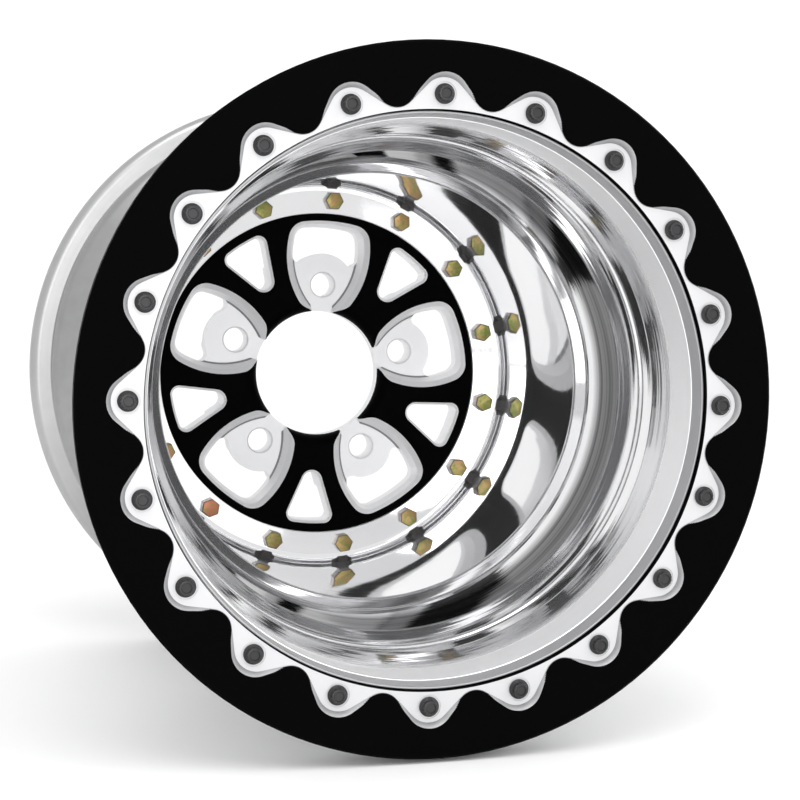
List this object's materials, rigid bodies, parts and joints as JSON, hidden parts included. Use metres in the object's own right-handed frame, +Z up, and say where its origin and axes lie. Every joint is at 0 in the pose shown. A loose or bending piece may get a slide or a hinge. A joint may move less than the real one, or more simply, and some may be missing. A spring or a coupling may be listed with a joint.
{
  "type": "wheel",
  "caption": "Wide deep-dish car wheel: a polished stepped barrel, a black centre with lug pockets and a scalloped bead-lock ring bolted to the outer edge.",
  "frame": {"origin": "centre of the lug circle on the hub mounting face", "axes": "+Y along the spin axis towards the car, the dished front looks to -Y, +Z up"},
  "size_m": [0.44, 0.4324, 0.44],
  "materials": {
    "black_anodised": "black anodised, machined bright in the pockets and tabs",
    "polished_aluminium": "mirror polished spun sheet",
    "satin_aluminium": "satin spun sheet",
    "machined_aluminium": "turned",
    "black_oxide_steel": "black oxide",
    "yellow_zinc_steel": "yellow zinc passivated",
    "plain_steel": "bright zinc plated",
    "nylon": "plain",
    "sealant": "cured silicone",
    "rubber": "moulded",
    "brass": "turned",
    "valve_metal": "turned",
    "cap_plastic": "moulded"
  },
  "bodies": {
    "root": {"clamp_ring": "black_anodised", "lock_bolts": "black_oxide_steel", "lock_ring": "machined_aluminium", "thread_inserts": "plain_steel", "outer_rim_half": "polished_aluminium", "inner_rim_half": "satin_aluminium", "wheel_centre": "black_anodised", "rim_sealant": "sealant", "assembly_bolts": "yellow_zinc_steel", "assembly_washers": "plain_steel", "assembly_nuts": "plain_steel", "nut_nylon_rings": "nylon", "valve_stem": "valve_metal", "valve_seal": "rubber", "valve_washer": "plain_steel", "valve_nut": "valve_metal", "valve_core": "brass", "valve_cap": "cap_plastic", "valve_cap_seal": "rubber"}
  },
  "joints": []
}
